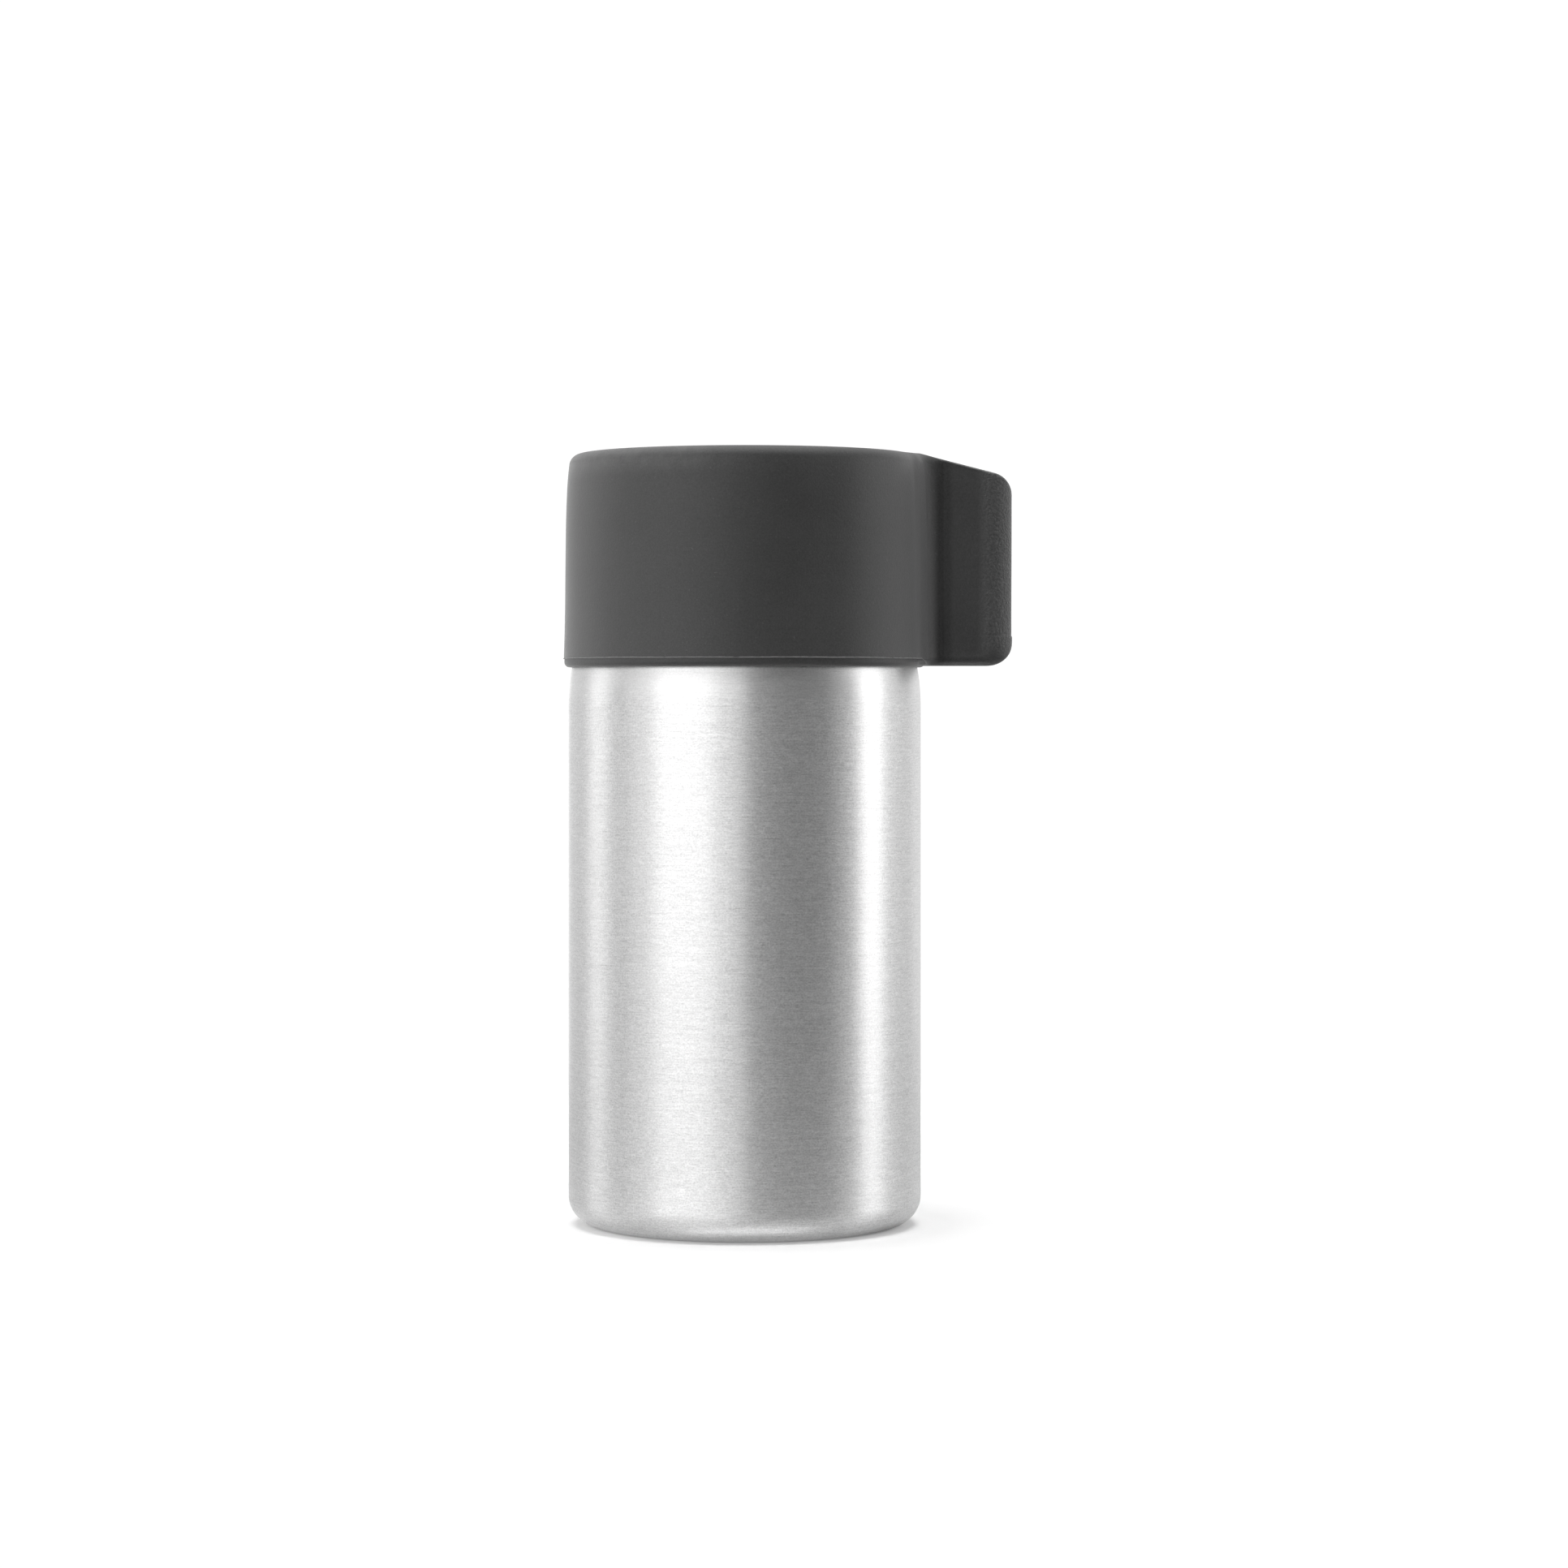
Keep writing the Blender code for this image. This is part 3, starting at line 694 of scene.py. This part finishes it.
def silicone(name="charcoal_silicone", painted_highlight=0.0):
    """Charcoal moulded silicone: fine matt skin, coarser on the loop's outer strip.
    The colour also carries painted light on the left side and at the upper-left edge,
    painted shade on the loop's panel and in its crease, painted light in the corner
    where the wall meets the loop, and a painted sheen on the loop's outer strip.
    It is darker in a band at x 6 to 15 mm.
    """
    n = Nodes(name)
    where, x, y, z = n.place()
    smudge = n.noise(where, 0.16, 3.0, 0.55)
    mottle = n.noise(where, 0.9, 3.0, 0.6)
    grain = n.noise(where, 6.5, 2.0, 0.65)
    lines = n.noise(
        n.vector(n.math("MULTIPLY", x, 0.10), n.math("MULTIPLY", y, 0.10), n.math("MULTIPLY", z, 4.2)),
        1.0,
        2.0,
        0.6,
    )
    wiped = n.between(n.noise(where, 0.09, 1.0, 0.5), 0.42, 0.60)
    # Painted light: the colour is lighter, mottled, at the upper-left edge and over the whole left side, where the lid
    # is lit more.
    painted_light_and_band = n.math("MULTIPLY", n.between(z, 69.2, 70.9), n.between(x, -9.0, 3.0, 1.0, 0.0))
    painted_light_and_band = n.math("MULTIPLY", painted_light_and_band, n.math("MULTIPLY_ADD", mottle, 0.06, 0.0))
    painted_light_and_band = n.math("ADD", painted_light_and_band, n.between(x, -15.0, 1.0, 0.023, 0.0))
    # Darker in a band from x 6 to 15 mm.
    darker_band = n.math("MULTIPLY", n.between(x, 6.0, 9.5), n.between(x, 11.5, 15.0, 1.0, 0.0))
    painted_light_and_band = n.math("MULTIPLY_ADD", darker_band, -0.007, painted_light_and_band)
    dust = n.noise(where, 5.5, 0.0, 0.5)
    specks = n.between(dust, 0.79, 0.83)

    strip = n.math(
        "MULTIPLY",
        n.between(x, 21.8, 23.0),
        n.between(z, 52.9, 54.2),
    )
    panel = n.math(
        "MULTIPLY",
        n.between(x, 17.6, 18.2),
        n.between(x, 21.8, 23.0, 1.0, 0.0),
    )
    # Mask for painted shade in the crease beside the lid's wall.
    painted_crease_shade = n.math("MULTIPLY", panel, n.between(x, 18.9, 19.6, 1.0, 0.0))
    # Mask for painted light in the corner where the lid's wall meets the loop.
    painted_corner_light = n.math("MULTIPLY", n.between(x, 15.8, 16.15), n.between(x, 16.2, 16.95, 1.0, 0.0))
    peel = n.noise(where, 4.2, 2.0, 0.5)

    # A painted highlight, when given, lightens the whole colour.
    shade = n.math("MULTIPLY_ADD", smudge, 0.012, 0.0105 + painted_highlight)
    shade = n.math("MULTIPLY_ADD", mottle, 0.006, shade)
    shade = n.math("MULTIPLY_ADD", grain, 0.040, shade)
    shade = n.math("MULTIPLY_ADD", n.math("MULTIPLY", lines, wiped), 0.008, shade)
    shade = n.math("MULTIPLY_ADD", specks, 0.022, shade)
    # Adds the painted light on the left and the darker band.
    shade = n.math("ADD", painted_light_and_band, shade)
    # Painted shade: the loop's panel a little darker, darker still in its crease, where the lid's wall blocks the
    # light.
    shade = n.math("MULTIPLY_ADD", panel, -0.004, shade)
    shade = n.math("MULTIPLY_ADD", painted_crease_shade, -0.017, shade)
    # Painted light: a paler stripe in that corner, against the shade that falls there.
    shade = n.math("MULTIPLY_ADD", painted_corner_light, 0.020, shade)
    # Painted sheen: the loop's outer strip is lighter, less so near its rounded outer edge; the orange-peel texture
    # rides on it.
    peel_and_painted_sheen = n.math("MULTIPLY", strip, n.between(x, 23.6, 25.0, 1.0, 0.2))
    pebbles = n.math("MULTIPLY_ADD", peel, 0.07, -0.015)
    shade = n.math("MULTIPLY_ADD", peel_and_painted_sheen, pebbles, shade)
    n.link(n.grey(shade), n.shader.inputs["Base Color"])

    rough = n.math("MULTIPLY_ADD", smudge, 0.10, 0.40)
    rough = n.math("MULTIPLY_ADD", n.math("MULTIPLY", lines, wiped), 0.06, rough)
    rough = n.math("MULTIPLY_ADD", panel, -0.05, rough)
    rough = n.math("MULTIPLY_ADD", n.between(z, 70.9, 71.5), 0.22, rough)
    n.link(rough, n.shader.inputs["Roughness"])
    n.shader.inputs["IOR"].default_value = 1.5
    n.shader.inputs["Specular IOR Level"].default_value = 0.395
    n.shader.inputs["Sheen Weight"].default_value = 0.29
    n.shader.inputs["Sheen Roughness"].default_value = 0.5

    normal = n.bump(grain, 0.30, 0.00002)
    peel_height = n.math("MULTIPLY", peel, n.math("MULTIPLY_ADD", strip, 0.9, 0.1))
    normal = n.bump(peel_height, 0.7, 0.00016, normal)
    normal = n.bump(n.math("ADD", n.math("MULTIPLY", mottle, 0.6), n.math("MULTIPLY", lines, 0.4)), 0.3, 0.00004, normal)
    n.link(normal, n.shader.inputs["Normal"])
    return n.material


def cap_plastic():
    """Hard black moulded plastic with faint flow marks."""
    n = Nodes("black_plastic")
    where, x, y, z = n.place()
    flow = n.noise(where, 0.35, 3.0, 0.5, 0.8)
    grain = n.noise(where, 7.0, 2.0, 0.6)
    shade = n.math("MULTIPLY_ADD", flow, 0.016, 0.022)
    shade = n.math("MULTIPLY_ADD", grain, 0.008, shade)
    n.link(n.grey(shade), n.shader.inputs["Base Color"])
    n.link(n.math("MULTIPLY_ADD", flow, 0.16, 0.30), n.shader.inputs["Roughness"])
    n.link(n.bump(grain, 0.15, 0.00003), n.shader.inputs["Normal"])
    return n.material


def seal_rubber():
    """Pale translucent-looking silicone ring with a fine skin."""
    n = Nodes("pale_seal")
    where, x, y, z = n.place()
    cloud = n.noise(where, 0.4, 2.0, 0.5)
    grain = n.noise(where, 8.0, 2.0, 0.6)
    shade = n.math("MULTIPLY_ADD", cloud, 0.10, 0.55)
    shade = n.math("MULTIPLY_ADD", grain, 0.05, shade)
    n.link(n.grey(shade), n.shader.inputs["Base Color"])
    n.link(n.math("MULTIPLY_ADD", cloud, 0.15, 0.38), n.shader.inputs["Roughness"])
    n.shader.inputs["Subsurface Weight"].default_value = 0.25
    n.shader.inputs["Subsurface Radius"].default_value = (0.0006, 0.0006, 0.0006)
    n.link(n.bump(grain, 0.2, 0.00003), n.shader.inputs["Normal"])
    return n.material


def floor_material():
    """White paper. The lamps are set for the can, which would leave the paper too bright
    in its reflections, so rays that don't come from the camera see it greyer, most of
    all away from the can, and with more sheen: painted shade in the reflections. Close
    under the can, and at a ring under its edge on the front side, they see a painted
    glow, emission standing in for light from below. The camera sees a painted glow
    round the can's base."""
    n = Nodes("studio_floor")
    where, x, y, z = n.place()
    away = n.add("ShaderNodeVectorMath", operation="LENGTH")
    n.link(where, away.inputs[0])
    grey = n.between(away.outputs["Value"], 18, 60, FLOOR_NEAR, FLOOR_FAR)
    path = n.add("ShaderNodeLightPath")
    shade = n.math("MULTIPLY_ADD", path.outputs["Is Camera Ray"], n.math("SUBTRACT", 0.92, grey), grey)
    n.link(n.grey(shade), n.shader.inputs["Base Color"])
    # Painted glow: emission for reflected rays near the can and at a ring under its edge, on the front side only.
    painted_glow = n.between(away.outputs["Value"], 18, 25, FLOOR_PAINTED_GLOW, 0.0)
    painted_glow_ring = n.math(
        "MULTIPLY",
        n.between(away.outputs["Value"], 14.0, 15.2),
        n.between(away.outputs["Value"], 15.6, 17.5, 1.0, 0.0),
    )
    painted_glow = n.math("MULTIPLY_ADD", painted_glow_ring, 0.05, painted_glow)
    front = n.between(n.math("MULTIPLY_ADD", x, 0.4, y), -14, 4, 1.0, 0.0)
    painted_glow = n.math("MULTIPLY", painted_glow, front)
    # Painted light: emission seen by the camera, standing in for light that the can's rounded base throws back on the
    # paper under it.
    painted_bounce = n.math(
        "MULTIPLY",
        n.between(away.outputs["Value"], 13.5, 15.2, 0.08, 0.21),
        n.between(away.outputs["Value"], 14.8, 19.5, 1.0, 0.0),
    )
    painted_bounce = n.math("MULTIPLY", painted_bounce, n.between(n.math("ABSOLUTE", x), 7, 13, 0.6, 1.0))
    n.shader.inputs["Emission Color"].default_value = (1, 1, 1, 1)
    n.link(
        n.math(
            "ADD",
            n.math("MULTIPLY", painted_glow, n.math("SUBTRACT", 1.0, path.outputs["Is Camera Ray"])),
            n.math("MULTIPLY", painted_bounce, path.outputs["Is Camera Ray"]),
        ),
        n.shader.inputs["Emission Strength"],
    )
    n.link(n.math("MULTIPLY_ADD", path.outputs["Is Camera Ray"], -0.6, 0.6), n.shader.inputs["Metallic"])
    n.link(n.math("MULTIPLY_ADD", path.outputs["Is Camera Ray"], 0.5, 0.3), n.shader.inputs["Roughness"])
    n.link(
        n.math("MULTIPLY_ADD", path.outputs["Is Camera Ray"], -0.5, 0.6),
        n.shader.inputs["Specular IOR Level"],
    )
    return n.material


# ---------------------------------------------------------------- studio

# The floor's grey for reflections, near and far, is painted shade; the third value is a painted glow near the can.
FLOOR_NEAR, FLOOR_FAR, FLOOR_PAINTED_GLOW = 0.62, 0.40, 0.16
ROOM_ABOVE, ROOM_BELOW = 0.12, 0.05
# Soft boxes stand in a ring round the can, 20 degrees wide each, from straight behind
# on the left, past the photographed front, to straight behind on the right.
RING = [1.32, 0.70, 0.58, 1.26, 0.58, 0.90, 1.60, 1.52, 0.92, 0.14, 0.06, 0.09, 0.37, 1.88, 0.71, 0.63, 0.80, 0.90]
# name, azimuth (0 is the photographed front, 90 the loop's side), elevation, width
# and height in degrees as seen from the can, and radiance
LIGHTS = [
    (f"ring_{n}", -170 + 20 * n, 8, 20, 54, radiance)
    for n, radiance in enumerate(RING)
    if radiance
] + [("overhead", 0, 89, 44, 44, 6.0)]


def area_light(name, azimuth, elevation, wide, tall, radiance):
    distance = 0.6
    data = bpy.data.lights.new(name, "AREA")
    data.shape = "RECTANGLE"
    data.size = 2 * distance * math.tan(math.radians(wide / 2))
    data.size_y = 2 * distance * math.tan(math.radians(tall / 2))
    # Watts that give this radiance over the light's face.
    data.energy = radiance * math.pi * data.size * data.size_y
    light = bpy.data.objects.new(name, data)
    bpy.context.scene.collection.objects.link(light)
    az, el = math.radians(azimuth), math.radians(elevation)
    aim = Vector((0.0, 0.0, 0.035))
    direction = Vector((math.sin(az) * math.cos(el), -math.cos(az) * math.cos(el), math.sin(el)))
    light.location = aim + direction * distance
    light.rotation_euler = direction.to_track_quat("Z", "Y").to_euler()
    light.visible_camera = False
    return light


def build_studio():
    floor_mesh = bpy.data.meshes.new("studio_floor")
    ring = [(0.14 * math.cos(a), 0.14 * math.sin(a), 0.0) for a in np.linspace(0, 2 * math.pi, 96, endpoint=False)]
    floor_mesh.from_pydata(ring, [], [list(range(96))])
    floor = bpy.data.objects.new("studio_floor", floor_mesh)
    bpy.context.scene.collection.objects.link(floor)
    floor.location.z = -0.00002
    floor.data.materials.append(floor_material())

    for row in LIGHTS:
        area_light(*row)

    world = bpy.data.worlds.new("studio_room")
    bpy.context.scene.world = world
    world.use_nodes = True
    tree = world.node_tree
    tree.nodes.clear()
    out = tree.nodes.new("ShaderNodeOutputWorld")
    seen = tree.nodes.new("ShaderNodeBackground")
    seen.inputs["Color"].default_value = (1, 1, 1, 1)
    seen.inputs["Strength"].default_value = 1.05
    room = tree.nodes.new("ShaderNodeBackground")
    room.inputs["Color"].default_value = (1, 1, 1, 1)
    where = tree.nodes.new("ShaderNodeTexCoord")
    parts = tree.nodes.new("ShaderNodeSeparateXYZ")
    level = tree.nodes.new("ShaderNodeMapRange")
    level.inputs["From Min"].default_value = -0.05
    level.inputs["From Max"].default_value = 0.05
    level.inputs["To Min"].default_value = ROOM_BELOW
    level.inputs["To Max"].default_value = ROOM_ABOVE
    tree.links.new(where.outputs["Generated"], parts.inputs[0])
    tree.links.new(parts.outputs[2], level.inputs["Value"])
    tree.links.new(level.outputs["Result"], room.inputs["Strength"])
    mix = tree.nodes.new("ShaderNodeMixShader")
    path = tree.nodes.new("ShaderNodeLightPath")
    tree.links.new(path.outputs["Is Camera Ray"], mix.inputs[0])
    tree.links.new(room.outputs[0], mix.inputs[1])
    tree.links.new(seen.outputs[0], mix.inputs[2])
    tree.links.new(mix.outputs[0], out.inputs[0])


def build_camera():
    data = bpy.data.cameras.new("photo_view")
    data.sensor_width = 36.0
    data.sensor_height = 36.0
    data.sensor_fit = "HORIZONTAL"
    away = 0.390
    data.lens = 13140 * away / 1932 * 36
    data.shift_x = (966 - 917.5) / 1932
    data.shift_y = -(966 - 856) / 1932
    data.clip_start = 0.01
    data.clip_end = 20
    camera = bpy.data.objects.new("photo_view", data)
    bpy.context.scene.collection.objects.link(camera)
    camera.location = (0.0, -away, 0.0495)
    camera.rotation_euler = (math.radians(90), 0, 0)
    bpy.context.scene.camera = camera


# ---------------------------------------------------------------- put together


def main():
    scene = bpy.context.scene
    scene.view_settings.view_transform = "Standard"
    scene.view_settings.look = "None"

    build_camera()

    profile = can_profile()
    can = lathe("canister_shell", profile, 192, neck_push)
    can.data.materials.append(brushed_metal())
    can.data.materials.append(drawn_metal())
    neck_row = next(i for i, p in enumerate(profile) if p[1] > 56.4)
    rows = np.arange(len(can.data.polygons)) // 192
    can.data.polygons.foreach_set("material_index", (rows >= neck_row).astype(np.int32))
    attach(can, "canister")
    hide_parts("canister_body")

    cap = lathe("inner_cap_shell", cap_profile(), 192, cap_push)
    cap.data.materials.append(cap_plastic())
    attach(cap, "lid")
    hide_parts("inner_cap")

    seal = lathe("cap_gasket_ring", seal_profile(), 144, closed=True)
    seal.data.materials.append(seal_rubber())
    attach(seal, "seal")
    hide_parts("cap_gasket")

    cover = build_cover()
    flash = build_flash()
    cover.data.materials.append(silicone())
    # The flash gets a paler copy of the silicone: a painted highlight on the thin film that catches the light.
    flash.data.materials.append(silicone("flash_silicone_painted_highlight", 0.12))
    for piece in (cover, flash):
        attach(piece, "lid")
    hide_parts("lid_cover")

    build_studio()

    for piece in (can, cap, seal, cover, flash):
        open_edges = check_closed(piece)
        print(piece.name, len(piece.data.polygons), "faces, open or odd edges:", open_edges)


def check_closed(obj):
    """Edges that don't join exactly two faces."""
    mesh = obj.data
    edges = np.zeros(len(mesh.loops), np.int32)
    mesh.loops.foreach_get("edge_index", edges)
    count = np.bincount(edges, minlength=len(mesh.edges))
    return int((count != 2).sum())


main()
